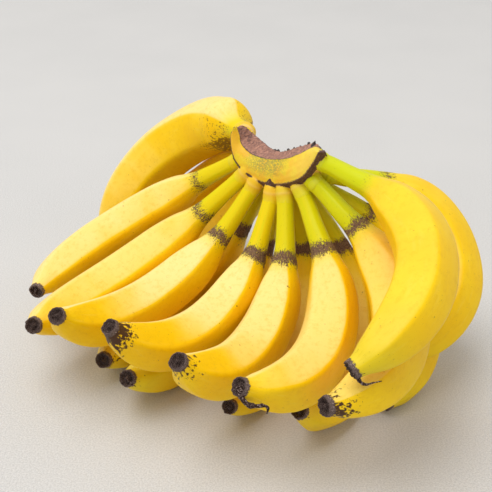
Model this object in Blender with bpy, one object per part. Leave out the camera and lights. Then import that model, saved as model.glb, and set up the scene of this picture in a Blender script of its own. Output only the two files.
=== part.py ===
"""A hand of bananas, cut from its stem and laid down on the backs of its lower fingers.

Run with: blender --background --python part.py

The crown is the woody cushion that held the hand to the stem. Seventeen fingers grow out of its rim in two
rows. Each finger is one solid: a thin stalk, a five-sided curved fruit and the blunt dried flower end. The
crown's axis is the line of the stem that the hand was cut from, and every finger curves round towards it.
"""

import math

import bmesh
import bpy
import numpy as np
from mathutils import Matrix, Vector

# How the hand lies: metres and degrees
CROWN_HEIGHT = 0.1545
STEM_AZIMUTH = 42.0
STEM_TILT = 4.2

# The crown: a crescent-shaped cushion round the stem's axis, hollowed where it was cut off the stem. Its
# edges run from the left end to the right, in millimetres from its centre: level, up and along the stem
FRONT_LIP = [
    (-33.3, 2.0, 11.0),
    (-36.3, -5.2, 11.3),
    (-35.8, -11.2, 11.5),
    (-33.3, -19.5, 11.8),
    (-27.8, -25.3, 12.1),
    (-16.8, -30.0, 12.4),
    (-2.4, -31.3, 12.6),
    (11.3, -28.8, 12.9),
    (25.9, -21.9, 13.2),
    (34.1, -14.8, 13.5),
    (41.0, -3.5, 13.7),
    (44.5, 4.6, 14.0),
]
CUT_FRONT = [
    (-33.0, 2.6, 9.0),
    (-30.9, -3.9, 8.0),
    (-28.0, -10.5, 8.0),
    (-18.6, -14.9, 8.0),
    (-4.6, -14.5, 8.0),
    (12.4, -9.9, 8.0),
    (24.9, -2.5, 7.0),
    (30.1, 1.3, 6.0),
    (35.0, 4.2, 5.0),
]
CUT_BACK = [
    (-33.2, 2.6, 5.0),
    (-32.7, 0.5, 0.0),
    (-31.3, -4.0, -5.0),
    (-28.6, -7.0, -7.5),
    (-22.7, -9.6, -8.0),
    (-12.1, -13.2, -8.0),
    (-2.2, -12.0, -8.0),
    (9.5, -5.9, -7.5),
    (23.0, 1.1, -5.5),
    (32.0, 4.2, 0.0),
]
BACK_LIP = [
    (-34.3, -6.0, -5.0),
    (-35.5, -11.0, -10.5),
    (-33.0, -19.0, -12.0),
    (-27.8, -25.3, -12.1),
    (-16.8, -30.0, -12.4),
    (-2.4, -31.3, -12.6),
    (11.3, -28.8, -12.6),
    (23.5, -23.0, -12.5),
    (32.0, -17.5, -12.0),
    (36.5, -13.0, -10.0),
    (39.0, -8.0, -5.0),
]
CROWN_STATIONS = 25
RIM_DROP = (0.0015, 0.0038)
RIM_FLARE = (0.0015, 0.0028)
FACE_BULGE = 0.0022
CUT_HOLLOW = 0.0012
FLANK_RADIUS = 0.0375
FLANK_HALF_DEPTH = 0.0075
FLANK_LEAN = 0.3
CROWN_LIMIT = 0.0418
END_SHRINK = 0.55
END_REACH = 0.0022

# A finger: its thickness is a share of its girth radius at stations along it, in shares of its length
GIRTH_RADIUS = 0.0174
STRAIGHT_STALK = 0.027
SHOULDER_SHARE = 0.28
PROFILE = [
    (0.000, 0.34),
    (0.060, 0.35),
    (0.130, 0.39),
    (0.190, 0.45),
    (0.230, 0.56),
    (0.280, 0.76),
    (0.350, 0.92),
    (0.450, 0.99),
    (0.580, 1.00),
    (0.720, 0.97),
    (0.820, 0.87),
    (0.890, 0.72),
    (0.940, 0.54),
    (0.972, 0.38),
    (0.982, 0.35),
    (1.000, 0.33),
]
RING_SHARES = [
    0.0, 0.06, 0.13, 0.19, 0.23, 0.28, 0.35, 0.42, 0.50, 0.58, 0.65,
    0.72, 0.77, 0.82, 0.86, 0.89, 0.92, 0.945, 0.972, 0.982, 1.0,
]
SIDES = 15
RIDGES = 5
RIDGE_HEIGHT = 0.018
RIDGE_RISE = 0.12
RIDGE_FADE = 0.10
STALK_SHARE = 0.21
FLOWER_SHARE = 0.975
FLOWER_SCAR_DEPTH = 0.0018
FLOWER_SCAR_SHARE = 0.55
SHARP_EDGE_ANGLE = 50.0

# Where the two rows leave the crown's rim
ROOT_RADIUS = 0.0428
INNER_ROW_OFFSET = 0.0100
OUTER_ROW_OFFSET = -0.0086
ROOT_GAP = 0.0005
STUB_BASE_RADIUS = 0.0313
STUB_BASE_OFFSET = 0.0040
STUB_BASE_WIDTH = 0.77

# An inner stalk that doesn't lift leaves the crown from deeper, by up to this drop, and soon rises to its course
ROOT_DROP = 0.005
DROP_LIFT = 22.0
DROP_LIFT_RANGE = 27.0
DROP_RUN = 0.035

# Each finger: place in the fan, lift of its stalk and bend of its fruit towards the stem's axis, sideways
# sway, in degrees, its length in millimetres, and its girth and stalk as shares of the usual ones
INNER_ROW = [
    (-54, 0, 113, 19, 208, 0.97, 1.0),
    (-37, 18, 108, 11, 218, 1.00, 1.0),
    (-20, 23, 118, 3, 215, 0.98, 1.0),
    (5, 25, 119, 3, 202, 0.98, 1.0),
    (22, 19, 119, 21, 209, 1.00, 1.0),
    (43, 8, 115, 14, 212, 1.00, 1.0),
    (60, -9, 119, -1, 220, 1.02, 1.0),
    (83, -7, 118, -30, 208, 1.05, 1.0),
]
OUTER_ROW = [
    (-79, -28, 122, 74, 220, 1.30, 0.43),
    (-59, -44, 119, 26, 208, 0.93, 1.0),
    (-41.5, -41, 121, -2, 210, 0.95, 1.0),
    (-24, 7, 114, 16, 216, 1.00, 1.0),
    (-6.5, 8, 117, 10, 218, 1.00, 1.0),
    (11, -13, 136, 20, 213, 0.88, 1.0),
    (28.5, -22, 156, 24, 233, 0.95, 1.0),
    (46.5, -46, 134, -15, 209, 1.00, 1.0),
    (65, -56, 150, -57, 204, 1.07, 1.0),
]

# How the fingers share the room: they keep clear of each other and lie in the floor by the depth of their
# flats. The root of a stalk is held fast, and gives way more and more up to a share of its length.
STATIONS = 41
CLEARANCE = 0.0009
FLAT_DEPTH = 0.0012
FAST_SHARE = 0.05
FREE_SHARE = 0.30
SETTLE_ROUNDS = 240
SETTLE_REACH = 7
STIFFNESS = 0.5
FLOOR_WIDTH = 1.0
FLOOR_DEPTH = 0.02

# Colours
PEEL_YELLOW = (0.90, 0.62, 0.06)
PEEL_GREENISH = (0.62, 0.62, 0.08)
OUTER_GREENNESS = 0.35
STALK_GREEN = (0.50, 0.56, 0.08)
FLOWER_END_BROWN = (0.06, 0.035, 0.02)
CROWN_YELLOW = (0.72, 0.52, 0.10)
PEEL_ROUGHNESS = 0.45
CROWN_ROUGHNESS = 0.8


def stem_axes():
    """Unit vectors of the crown: along the stem's axis, level across it, and up across it."""
    azimuth, tilt = math.radians(STEM_AZIMUTH), math.radians(STEM_TILT)
    along = np.array(
        [-math.sin(azimuth) * math.cos(tilt), -math.cos(azimuth) * math.cos(tilt), math.sin(tilt)]
    )
    level = np.cross([0.0, 0.0, 1.0], along)
    level /= np.linalg.norm(level)
    return along, level, np.cross(along, level)


ALONG, LEVEL, UPWARD = stem_axes()


def fan_directions(fan):
    """The direction out of the crown at this place in the fan, where 0 is down, and the one across it."""
    angle = math.radians(fan)
    outward = math.sin(angle) * LEVEL - math.cos(angle) * UPWARD
    sideways = math.cos(angle) * LEVEL + math.sin(angle) * UPWARD
    return outward, sideways


def grown_line(finger, row_offset):
    """A finger's centre line as it would grow alone: a straight stalk, then an even bend towards the stem."""
    fan, lift, bend, sway, length_mm = finger[:5]
    length = length_mm / 1000
    outward, sideways = fan_directions(fan)
    run = np.linspace(0, length, STATIONS)
    share = np.clip((run - STRAIGHT_STALK) / (length - STRAIGHT_STALK), 0, 1)
    turn = np.radians(lift) + np.radians(bend) * share
    drift = np.radians(sway) * share
    heading = np.cos(drift)[:, None] * (
        np.cos(turn)[:, None] * outward + np.sin(turn)[:, None] * ALONG
    ) + np.sin(drift)[:, None] * sideways
    steps = (heading[1:] + heading[:-1]) / 2 * (length / (STATIONS - 1))
    root = outward * ROOT_RADIUS + ALONG * row_offset + Vector((0, 0, CROWN_HEIGHT))
    line = root + np.vstack([np.zeros(3), np.cumsum(steps, axis=0)])
    if row_offset > 0:
        drop = ROOT_DROP * min(max((DROP_LIFT - lift) / DROP_LIFT_RANGE, 0), 1)
        sunk = np.cos(np.clip(run / DROP_RUN, 0, 1) * math.pi) / 2 + 0.5
        line -= drop * sunk[:, None] * ALONG
    return line


def thickness(share, girth, stalk):
    """The finger's radius at a share of its length, on a smooth curve through the profile's points."""
    at, size = np.array(PROFILE).T
    past_shoulder = 1 - (1 - at) * (1 - SHOULDER_SHARE * stalk) / (1 - SHOULDER_SHARE)
    at = np.where(at < SHOULDER_SHARE, at * stalk, past_shoulder)
    slope = np.gradient(size, at)
    slope[1:-1] = np.where(
        np.diff(size)[1:] * np.diff(size)[:-1] <= 0, 0.0, slope[1:-1]
    )
    i = np.clip(np.searchsorted(at, share, side="right") - 1, 0, len(at) - 2)
    width = at[i + 1] - at[i]
    t = (share - at[i]) / width
    value = (
        (2 * t**3 - 3 * t**2 + 1) * size[i]
        + (t**3 - 2 * t**2 + t) * width * slope[i]
        + (3 * t**2 - 2 * t**3) * size[i + 1]
        + (t**3 - t**2) * width * slope[i + 1]
    )
    return value * GIRTH_RADIUS * girth


def settle(lines, shapes):
    """Presses the fingers apart where they would overlap and lifts them off the floor, in smooth bends."""
    share = np.linspace(0, 1, STATIONS)
    reach = [thickness(share, *shape) * (1 + RIDGE_HEIGHT) for shape in shapes]
    lengths = [np.linalg.norm(np.diff(line, axis=0), axis=1) for line in lines]
    give = np.clip((share - FAST_SHARE) / (FREE_SHARE - FAST_SHARE), 0, 1)[:, None]
    grown, lines = lines, [line.copy() for line in lines]
    kernel = np.hanning(2 * SETTLE_REACH + 3)[1:-1]
    kernel /= kernel.sum()
    room = ((SETTLE_REACH, SETTLE_REACH), (0, 0))
    for _ in range(SETTLE_ROUNDS):
        pushes = [np.zeros_like(line) for line in lines]
        for a in range(len(lines)):
            for b in range(a + 1, len(lines)):
                apart = lines[a][:, None] - lines[b][None]
                distance = np.linalg.norm(apart, axis=2)
                overlap = reach[a][:, None] + reach[b][None] + CLEARANCE - distance
                if overlap.max() <= 0:
                    continue
                unit = apart / distance[..., None]
                for own, axis, sign in ((a, 1, 1.0), (b, 0, -1.0)):
                    worst = overlap.argmax(axis=axis)
                    rows = np.arange(STATIONS)
                    pick = (rows, worst) if axis == 1 else (worst, rows)
                    depth = np.clip(overlap[pick], 0, None)[:, None]
                    pushes[own] += sign * depth * unit[pick] / 2
        for i, line in enumerate(lines):
            sink = reach[i] - FLAT_DEPTH - line[:, 2]
            pushes[i][:, 2] += np.clip(sink, 0, None)
            padded = np.pad(pushes[i], room, mode="edge")
            for axis in range(3):
                line[:, axis] += give[:, 0] * np.convolve(padded[:, axis], kernel, "valid")
            moved = line - grown[i]
            line[1:-1] += STIFFNESS * give[1:-1] * ((moved[2:] + moved[:-2]) / 2 - moved[1:-1])
            for k, length in enumerate(lengths[i]):
                step = line[k + 1] - line[k]
                line[k + 1] = line[k] + step * (length / np.linalg.norm(step))
    return lines


def smooth_curve(points, at):
    """Points on a smooth curve through the given ones, at places counted in points from the first."""
    points = np.asarray(points, float)
    padded = np.vstack([2 * points[0] - points[1], points, 2 * points[-1] - points[-2]])
    i = np.clip(np.floor(at).astype(int), 0, len(points) - 2)
    t = (at - i)[:, None]
    a, b, c, d = (padded[i + k] for k in range(4))
    return 0.5 * (
        2 * b + (c - a) * t + (2 * a - 5 * b + 4 * c - d) * t**2 + (3 * b - a - 3 * c + d) * t**3
    )


def material(name, colour, roughness):
    """A plain Principled material."""
    made = bpy.data.materials.new(name)
    made.use_nodes = True
    shader = made.node_tree.nodes["Principled BSDF"]
    shader.inputs["Base Color"].default_value = (*colour, 1.0)
    shader.inputs["Roughness"].default_value = roughness
    shader.inputs["Metallic"].default_value = 0.0
    made.diffuse_color = (*colour, 1.0)
    return made


def section_frames(line):
    """Unit vectors along the line and across it at each station, carried without twist from the root."""
    tangents = np.gradient(line, axis=0)
    tangents /= np.linalg.norm(tangents, axis=1)[:, None]
    across = -ALONG
    firsts, seconds = [], []
    for tangent in tangents:
        across = across - tangent * (across @ tangent)
        across /= np.linalg.norm(across)
        firsts.append(across)
        seconds.append(np.cross(tangent, across))
    return tangents, np.array(firsts), np.array(seconds)


def ring_points(centre, first, second, radius, ridge_height):
    """One five-ridged section of a finger."""
    angles = np.arange(SIDES) * 2 * math.pi / SIDES
    radii = radius * (1 + ridge_height * np.cos(RIDGES * angles))
    spokes = np.cos(angles)[:, None] * first + np.sin(angles)[:, None] * second
    return centre + radii[:, None] * spokes


def finger_rings(line, shape, outward):
    """The sections of a finger from the root of its stalk to the hollow of its flower scar."""
    tangents, firsts, seconds = section_frames(line)
    share = np.linspace(0, 1, STATIONS)

    def at(values, here):
        return np.array([np.interp(here, share, values[:, axis]) for axis in range(3)])

    rings = []
    for here in RING_SHARES:
        rise = min(max((here - STALK_SHARE) / RIDGE_RISE, 0), 1)
        fade = min(max((FLOWER_SHARE - here) / RIDGE_FADE, 0), 1)
        radius = float(thickness(np.array([here]), *shape)[0])
        rings.append(
            ring_points(
                at(line, here), at(firsts, here), at(seconds, here), radius, RIDGE_HEIGHT * rise * fade
            )
        )
    # The root's section is turned into the plane that faces the crown
    first = firsts[0] - outward * (firsts[0] @ outward)
    first /= np.linalg.norm(first)
    radius = float(thickness(np.array([0.0]), *shape)[0])
    rings[0] = ring_points(line[0], first, np.cross(outward, first), radius, 0.0)
    scar_centre = line[-1] - tangents[-1] * FLOWER_SCAR_DEPTH
    scar_radius = float(thickness(np.array([1.0]), *shape)[0]) * FLOWER_SCAR_SHARE
    rings.append(ring_points(scar_centre, firsts[-1], seconds[-1], scar_radius, 0.0))
    return rings


def lofted(name, rings, slots=None):
    """A closed mesh through rings of points, with a material slot for each band where they are given."""
    shell = bmesh.new()
    loops = [[shell.verts.new(point) for point in ring] for ring in rings]
    slots = slots or [0] * (len(loops) - 1)
    for near, far, slot in zip(loops, loops[1:], slots):
        for j in range(len(near)):
            after = (j + 1) % len(near)
            shell.faces.new((near[j], near[after], far[after], far[j])).material_index = slot
    shell.faces.new(loops[0][::-1]).material_index = slots[0]
    shell.faces.new(loops[-1]).material_index = slots[-1]
    bmesh.ops.recalc_face_normals(shell, faces=shell.faces)
    mesh = bpy.data.meshes.new(name)
    shell.to_mesh(mesh)
    shell.free()
    return mesh


def make_finger(name, line, finger, greenness, parent, collection, shared):
    """One finger as a closed loft, with its origin at the root of its stalk."""
    root = Vector(line[0])
    rings = finger_rings(line, finger[5:], fan_directions(finger[0])[0])
    shares = np.array(RING_SHARES + [1.0])
    middles = (shares[1:] + shares[:-1]) / 2
    slots = [1 if middle < STALK_SHARE else 2 if middle > FLOWER_SHARE else 0 for middle in middles]
    mesh = lofted(name, [ring - line[0] for ring in rings], slots)
    peel = tuple(y + (g - y) * greenness for y, g in zip(PEEL_YELLOW, PEEL_GREENISH))
    mesh.materials.append(material(name + " peel", peel, PEEL_ROUGHNESS))
    mesh.materials.append(shared["stalk"])
    mesh.materials.append(shared["flower end"])
    mesh.shade_smooth()
    mesh.set_sharp_from_angle(angle=math.radians(SHARP_EDGE_ANGLE))
    finger = bpy.data.objects.new(name, mesh)
    finger.parent = parent
    finger.location = root
    collection.objects.link(finger)
    return finger


def crown_sections():
    """The crown's closed sections from its left end to its right, rounded off at both ends."""
    curves = []
    for edge in (FRONT_LIP, CUT_FRONT, CUT_BACK, BACK_LIP):
        curves.append(smooth_curve(edge, np.linspace(0, len(edge) - 1, CROWN_STATIONS)) / 1000)
    drops = np.linspace(*RIM_DROP, CROWN_STATIONS)
    flares = np.linspace(*RIM_FLARE, CROWN_STATIONS)
    level_part, along = np.array([1.0, 1.0, 0.0]), np.array([0.0, 0.0, 1.0])

    def out_to(point, radius):
        flat = point * level_part
        return flat * (min(radius, CROWN_LIMIT) / np.linalg.norm(flat))

    sections = []
    for lip, cut_front, cut_back, back_lip, drop, flare in zip(*curves, drops, flares):
        reach, back_reach = np.linalg.norm(lip * level_part), np.linalg.norm(back_lip * level_part)
        lip = out_to(lip, reach) + lip[2] * along
        rim = out_to(lip, reach + flare) + (lip[2] - drop) * along
        back_rim = out_to(back_lip, back_reach + flare) + (back_lip[2] + drop) * along
        flank = out_to(lip * (1 - FLANK_LEAN) + back_lip * FLANK_LEAN, max(FLANK_RADIUS, reach + flare / 2))
        back_flank = out_to(back_lip, max(FLANK_RADIUS, back_reach + flare / 2))
        sections.append(
            np.array(
                [
                    cut_front,
                    (cut_front + lip) / 2 + FACE_BULGE * along,
                    lip,
                    rim,
                    flank + min(FLANK_HALF_DEPTH, rim[2] - drop) * along,
                    back_flank + max(-FLANK_HALF_DEPTH, back_rim[2] + drop) * along,
                    back_rim,
                    back_lip,
                    (cut_back + back_lip) / 2 - FACE_BULGE * along,
                    cut_back,
                    (cut_front + cut_back) / 2 - CUT_HOLLOW * np.array([0.0, 1.0, 0.0]),
                ]
            )
        )
    for end, inner in ((0, 1), (-1, -2)):
        middle = sections[end].mean(axis=0)
        onward = middle - sections[inner].mean(axis=0)
        onward *= END_REACH / np.linalg.norm(onward)
        rounded = middle + onward + (sections[end] - middle) * END_SHRINK
        sections.insert(0 if end == 0 else len(sections), rounded)
    return sections


def stalk_stub(name, line, finger, side, collection):
    """A stub of the crown that a stalk stands on, from inside the crown up to the root of the stalk."""
    outward = fan_directions(finger[0])[0]
    top = finger_rings(line, finger[5:], outward)[0] - ROOT_GAP * outward
    base = outward * STUB_BASE_RADIUS + ALONG * STUB_BASE_OFFSET * side + [0, 0, CROWN_HEIGHT]
    rings = [base + (top - top.mean(axis=0)) * STUB_BASE_WIDTH, top]
    stub = bpy.data.objects.new(name, lofted(name, rings))
    collection.objects.link(stub)


def make_crown(name, roots, parent, collection):
    """The crown: a crescent lofted through its sections, with a stub grown out of it for every stalk."""
    crown = bpy.data.objects.new(name, lofted(name, crown_sections()))
    collection.objects.link(crown)
    turn = Matrix((LEVEL, UPWARD, ALONG)).transposed().to_4x4()
    crown.matrix_local = Matrix.Translation((0, 0, CROWN_HEIGHT)) @ turn
    stubs = bpy.data.collections.new("stubs")
    bpy.context.scene.collection.children.link(stubs)
    for line, finger, side in roots:
        stalk_stub("stub", line, finger, side, stubs)
    union = crown.modifiers.new("stubs", "BOOLEAN")
    union.operation = "UNION"
    union.operand_type = "COLLECTION"
    union.collection = stubs
    whole = bpy.data.meshes.new_from_object(crown.evaluated_get(bpy.context.evaluated_depsgraph_get()))
    crown.modifiers.remove(union)
    crown.data = whole
    for stub in list(stubs.objects):
        bpy.data.objects.remove(stub)
    bpy.data.collections.remove(stubs)
    whole.name = name
    whole.materials.clear()
    whole.materials.append(material(name + " skin", CROWN_YELLOW, CROWN_ROUGHNESS))
    whole.shade_smooth()
    whole.set_sharp_from_angle(angle=math.radians(SHARP_EDGE_ANGLE))
    crown.parent = parent
    return crown


def floor_slab(collection):
    """A slab whose top is the floor, which cuts the flats that the hand lies on."""
    shell = bmesh.new()
    bmesh.ops.create_cube(shell, size=1.0)
    mesh = bpy.data.meshes.new("floor slab")
    shell.to_mesh(mesh)
    shell.free()
    slab = bpy.data.objects.new("floor slab", mesh)
    slab.scale = (FLOOR_WIDTH, FLOOR_WIDTH, FLOOR_DEPTH)
    slab.location = (0, 0, -FLOOR_DEPTH / 2)
    slab.hide_render = True
    slab.display_type = "WIRE"
    collection.objects.link(slab)
    return slab


def build():
    """The whole hand, centred on its box."""
    for thing in list(bpy.data.objects):
        bpy.data.objects.remove(thing)
    parts = bpy.data.collections.new("hand of bananas")
    cutters = bpy.data.collections.new("cutters")
    bpy.context.scene.collection.children.link(parts)
    bpy.context.scene.collection.children.link(cutters)
    hand = bpy.data.objects.new("hand", None)
    parts.objects.link(hand)

    shared = {
        "stalk": material("stalk", STALK_GREEN, PEEL_ROUGHNESS),
        "flower end": material("flower end", FLOWER_END_BROWN, CROWN_ROUGHNESS),
    }
    fingers = INNER_ROW + OUTER_ROW
    offsets = [INNER_ROW_OFFSET] * len(INNER_ROW) + [OUTER_ROW_OFFSET] * len(OUTER_ROW)
    names = [f"finger_inner_{k + 1}" for k in range(len(INNER_ROW))]
    names += [f"finger_outer_{k + 1}" for k in range(len(OUTER_ROW))]
    grown = [grown_line(finger, offset) for finger, offset in zip(fingers, offsets)]
    lines = settle(grown, [finger[5:] for finger in fingers])

    slab = floor_slab(cutters)
    sides = [1 if offset > 0 else -1 for offset in offsets]
    make_crown("crown", list(zip(lines, fingers, sides)), hand, parts)
    made = []
    for name, finger, line in zip(names, fingers, lines):
        greenness = OUTER_GREENNESS if name.startswith("finger_outer") else 0.0
        piece = make_finger(name, line, finger, greenness, hand, parts, shared)
        lowest = min((piece.location + vertex.co).z for vertex in piece.data.vertices)
        if lowest < 0:
            flat = piece.modifiers.new("flat on the floor", "BOOLEAN")
            flat.operation = "DIFFERENCE"
            flat.object = slab
        made.append(piece)

    corners = np.array([piece.location + vertex.co for piece in made for vertex in piece.data.vertices])
    middle = (corners.min(axis=0) + corners.max(axis=0)) / 2
    hand.location = (-middle[0], -middle[1], 0)


build()
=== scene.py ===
"""The looks of a hand of bananas lying on a pale surface, in soft light from high at the left."""

import math

import bpy
import numpy as np
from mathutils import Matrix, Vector
from mathutils.kdtree import KDTree


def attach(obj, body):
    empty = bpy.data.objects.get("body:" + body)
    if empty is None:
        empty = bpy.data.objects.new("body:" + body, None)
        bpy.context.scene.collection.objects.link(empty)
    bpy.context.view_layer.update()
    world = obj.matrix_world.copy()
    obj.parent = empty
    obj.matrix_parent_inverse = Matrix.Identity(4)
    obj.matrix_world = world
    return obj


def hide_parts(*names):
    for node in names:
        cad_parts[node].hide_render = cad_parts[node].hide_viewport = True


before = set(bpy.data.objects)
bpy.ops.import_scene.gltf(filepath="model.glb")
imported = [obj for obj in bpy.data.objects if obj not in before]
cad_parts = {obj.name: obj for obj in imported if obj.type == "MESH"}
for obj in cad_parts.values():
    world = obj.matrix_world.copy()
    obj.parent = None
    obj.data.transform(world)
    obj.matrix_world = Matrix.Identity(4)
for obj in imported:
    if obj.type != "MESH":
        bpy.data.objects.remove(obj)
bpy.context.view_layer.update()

# How the hand lies, as in the part's source: metres and degrees
CROWN_HEIGHT = 0.1545
STEM_AZIMUTH = 42.0
STEM_TILT = 4.2
HAND_SHIFT = np.array([0.021513, 0.036923, 0.0])

# A finger, as in the part's source
GIRTH_RADIUS = 0.0174
STRAIGHT_STALK = 0.027
SHOULDER_SHARE = 0.28
PROFILE = [
    (0.000, 0.34), (0.060, 0.35), (0.130, 0.39), (0.190, 0.45),
    (0.230, 0.56), (0.280, 0.76), (0.350, 0.92), (0.450, 0.99),
    (0.580, 1.00), (0.720, 0.97), (0.820, 0.87), (0.890, 0.72),
    (0.940, 0.54), (0.972, 0.38), (0.982, 0.35), (1.000, 0.33),
]
RIDGE_HEIGHT = 0.018
ROOT_RADIUS = 0.0428
INNER_ROW_OFFSET = 0.0100
OUTER_ROW_OFFSET = -0.0086
ROOT_DROP = 0.005
DROP_LIFT = 22.0
DROP_LIFT_RANGE = 27.0
DROP_RUN = 0.035

# Each finger, as in the part's source: place in the fan, lift, bend and sway in degrees, length in
# millimetres, girth and stalk as shares of the usual ones
INNER_ROW = [
    (-54, 0, 113, 19, 208, 0.97, 1.0),
    (-37, 18, 108, 11, 218, 1.00, 1.0),
    (-20, 23, 118, 3, 215, 0.98, 1.0),
    (5, 25, 119, 3, 202, 0.98, 1.0),
    (22, 19, 119, 21, 209, 1.00, 1.0),
    (43, 8, 115, 14, 212, 1.00, 1.0),
    (60, -9, 119, -1, 220, 1.02, 1.0),
    (83, -7, 118, -30, 208, 1.05, 1.0),
]
OUTER_ROW = [
    (-79, -28, 122, 74, 220, 1.30, 0.43),
    (-59, -44, 119, 26, 208, 0.93, 1.0),
    (-41.5, -41, 121, -2, 210, 0.95, 1.0),
    (-24, 7, 114, 16, 216, 1.00, 1.0),
    (-6.5, 8, 117, 10, 218, 1.00, 1.0),
    (11, -13, 136, 20, 213, 0.88, 1.0),
    (28.5, -22, 156, 24, 233, 0.95, 1.0),
    (46.5, -46, 134, -15, 209, 1.00, 1.0),
    (65, -56, 150, -57, 204, 1.07, 1.0),
]
STATIONS = 41
CLEARANCE = 0.0009
FLAT_DEPTH = 0.0012
FAST_SHARE = 0.05
FREE_SHARE = 0.30
SETTLE_ROUNDS = 240
SETTLE_REACH = 7
STIFFNESS = 0.5

# The crown, as in the part's source: its edges from the left end to the right, in millimetres from its
# centre, level, up and along the stem
FRONT_LIP = [
    (-33.3, 2.0, 11.0), (-36.3, -5.2, 11.3), (-35.8, -11.2, 11.5), (-33.3, -19.5, 11.8),
    (-27.8, -25.3, 12.1), (-16.8, -30.0, 12.4), (-2.4, -31.3, 12.6), (11.3, -28.8, 12.9),
    (25.9, -21.9, 13.2), (34.1, -14.8, 13.5), (41.0, -3.5, 13.7), (44.5, 4.6, 14.0),
]
CUT_FRONT = [
    (-33.0, 2.6, 9.0), (-30.9, -3.9, 8.0), (-28.0, -10.5, 8.0), (-18.6, -14.9, 8.0),
    (-4.6, -14.5, 8.0), (12.4, -9.9, 8.0), (24.9, -2.5, 7.0), (30.1, 1.3, 6.0),
    (35.0, 4.2, 5.0),
]
CUT_BACK = [
    (-33.2, 2.6, 5.0), (-32.7, 0.5, 0.0), (-31.3, -4.0, -5.0), (-28.6, -7.0, -7.5),
    (-22.7, -9.6, -8.0), (-12.1, -13.2, -8.0), (-2.2, -12.0, -8.0), (9.5, -5.9, -7.5),
    (23.0, 1.1, -5.5), (32.0, 4.2, 0.0),
]
BACK_LIP = [
    (-34.3, -6.0, -5.0), (-35.5, -11.0, -10.5), (-33.0, -19.0, -12.0), (-27.8, -25.3, -12.1),
    (-16.8, -30.0, -12.4), (-2.4, -31.3, -12.6), (11.3, -28.8, -12.6), (23.5, -23.0, -12.5),
    (32.0, -17.5, -12.0), (36.5, -13.0, -10.0), (39.0, -8.0, -5.0),
]
FACE_BULGE = 0.0022
CUT_HOLLOW = 0.0012
RIM_DROP = (0.0015, 0.0038)
RIM_FLARE = (0.0015, 0.0028)
FLANK_RADIUS = 0.0375
FLANK_HALF_DEPTH = 0.0075
FLANK_LEAN = 0.3

# The fine crown: stations along it, points for each side of a section, heights of points on its face from
# the lip (0) to the cut (1), widths of the cut's edges as shares of the ways inwards and down the back, and
# the share of its length after which its back is charred
CROWN_STATIONS = 150
CROWN_SIDE_POINTS = 8
FACE_HEIGHTS = (0.94, 0.75, 0.5, 0.25)
CUT_EDGE_WIDTH = 0.15
BACK_EDGE_WIDTH = 0.06
CHARRED_FROM = (0.975, 0.995)

# The dried line along the lip, wide up to LEFT_LIP_END and narrow past it, its notch, and the crown's ends
LEFT_LIP_END = -0.012
LIP_WIDTHS = (0.1, 0.02)
NOTCH_PLACE = 0.004
NOTCH_HALF_WIDTH = 0.004
NOTCH_HEIGHT = 0.3
END_REACH = 0.0015
END_SHRINK = 0.6
END_ONWARD = np.array([0.6, 0.8, 0])

# The stubs that the stalks grow from: the second of a stub's four knots as shares of its depth and rise, radii
# at the knots as shares of the stalk's own, and a low collar round it
STUB_DEPTH = 0.014
STUB_RISE = 0.0055
STUB_KNEE_DEPTH = 0.55
STUB_KNEE_RISE = 0.3
STUB_END = 0.004
STUB_RADII = [0.8, 1.06, 1.04, 1.02]
STUB_SECTIONS = 30
STUB_SINK = 0.0009
STUB_SINK_FROM = 2.55
STUB_COLLAR = 1.35
STUB_COLLAR_WIDTH = 0.09
STUB_COLLAR_HEIGHT = 0.00022
STUB_SIDES = 36
SHORT_STUB_FAN = (62, 78)
SHORT_STUB_LOSS = 0.55

# The spike at the right end of the cut and the knobs along its back edge, by their place on CUT_BACK
SPIKE_FOOT = (29, 1.5, 0)
SPIKE_TOP = (30.6, 6.2, 0)
SPIKE_WAY = [0, 0.45, 0.8, 1]
SPIKE_RADII = [0.0018, 0.0009, 0.0008, 0.0003]
SPIKE_SECTIONS = 12
KNOB_PLACES = [5.2, 5.5, 6.1, 6.35, 6.8, 7.25, 7.8, 8.3]
KNOB_RADIUS = 0.0008
KNOB_VARIETY = 0.35
KNOB_SECTIONS = 9
KNOB_STRETCH = 1.25
KNOB_SIDES = 14

# How the crown is fused into one skin, its relief (height and grain of each part in metres), and the numbers
# that its points carry
CROWN_VOXEL = 0.0005
SOFTENING_ROUNDS = 3
HOLLOW_ROUNDS = 12
CUT_RELIEF = 0.0005
CUT_GRAIN = 0.0026
CUT_GRAIN_STRETCH = (1, 0.6, 1)
FINE_RELIEF = 0.0003
FINE_GRAIN = 0.0009
RIM_RELIEF = 0.0003
RIM_GRAIN = 0.0016
CHAR_RELIEF = 0.00025
CHAR_GRAIN = 0.0012
SKIN_RELIEF = 0.00016
SKIN_GRAIN = 0.005
CROWN_NUMBERS = ("cut", "rim", "face", "stub", "lime", "collar", "char")

# The fine skin of a finger: points round it, spans of its length with the steps in each, closer at the neck
# and the tip, and the sections as shares of its length, negative in the crown, 0 at the root and 1 at the tip
SIDES = 70
SECTION_SPANS = [(-0.02, 0, 3), (0, 0.15, 17), (0.15, 0.3, 43), (0.3, 0.9, 59), (0.9, 1, 39)]
SECTION_SHARES = np.concatenate([*(np.linspace(*span, endpoint=False) for span in SECTION_SPANS), [1]])

# Its five sides: directions of the faces, sharpness of the corners, how far the fruit and the stalk are
# five-sided, where one turns to the other and where the tip is rounder, the place without twist, and the way
# towards the light: faces turned to it get a painted sheen, and faces turned away get painted shade
FACE_ANGLES = np.radians(36 + 72 * np.arange(5))
CORNER_POWER = 19
FIVE_SIDEDNESS = 0.75
STALK_FIVE_SIDEDNESS = 0.25
SIDED_FROM = (0.2, 0.34)
ROUNDER_FROM = (0.9, 0.965)
ROUNDER_TIP = 0.75
TWIST_CENTRE = 0.6
SUNNY_SIDE = np.array([-0.42, 0.12, 0.9])

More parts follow.
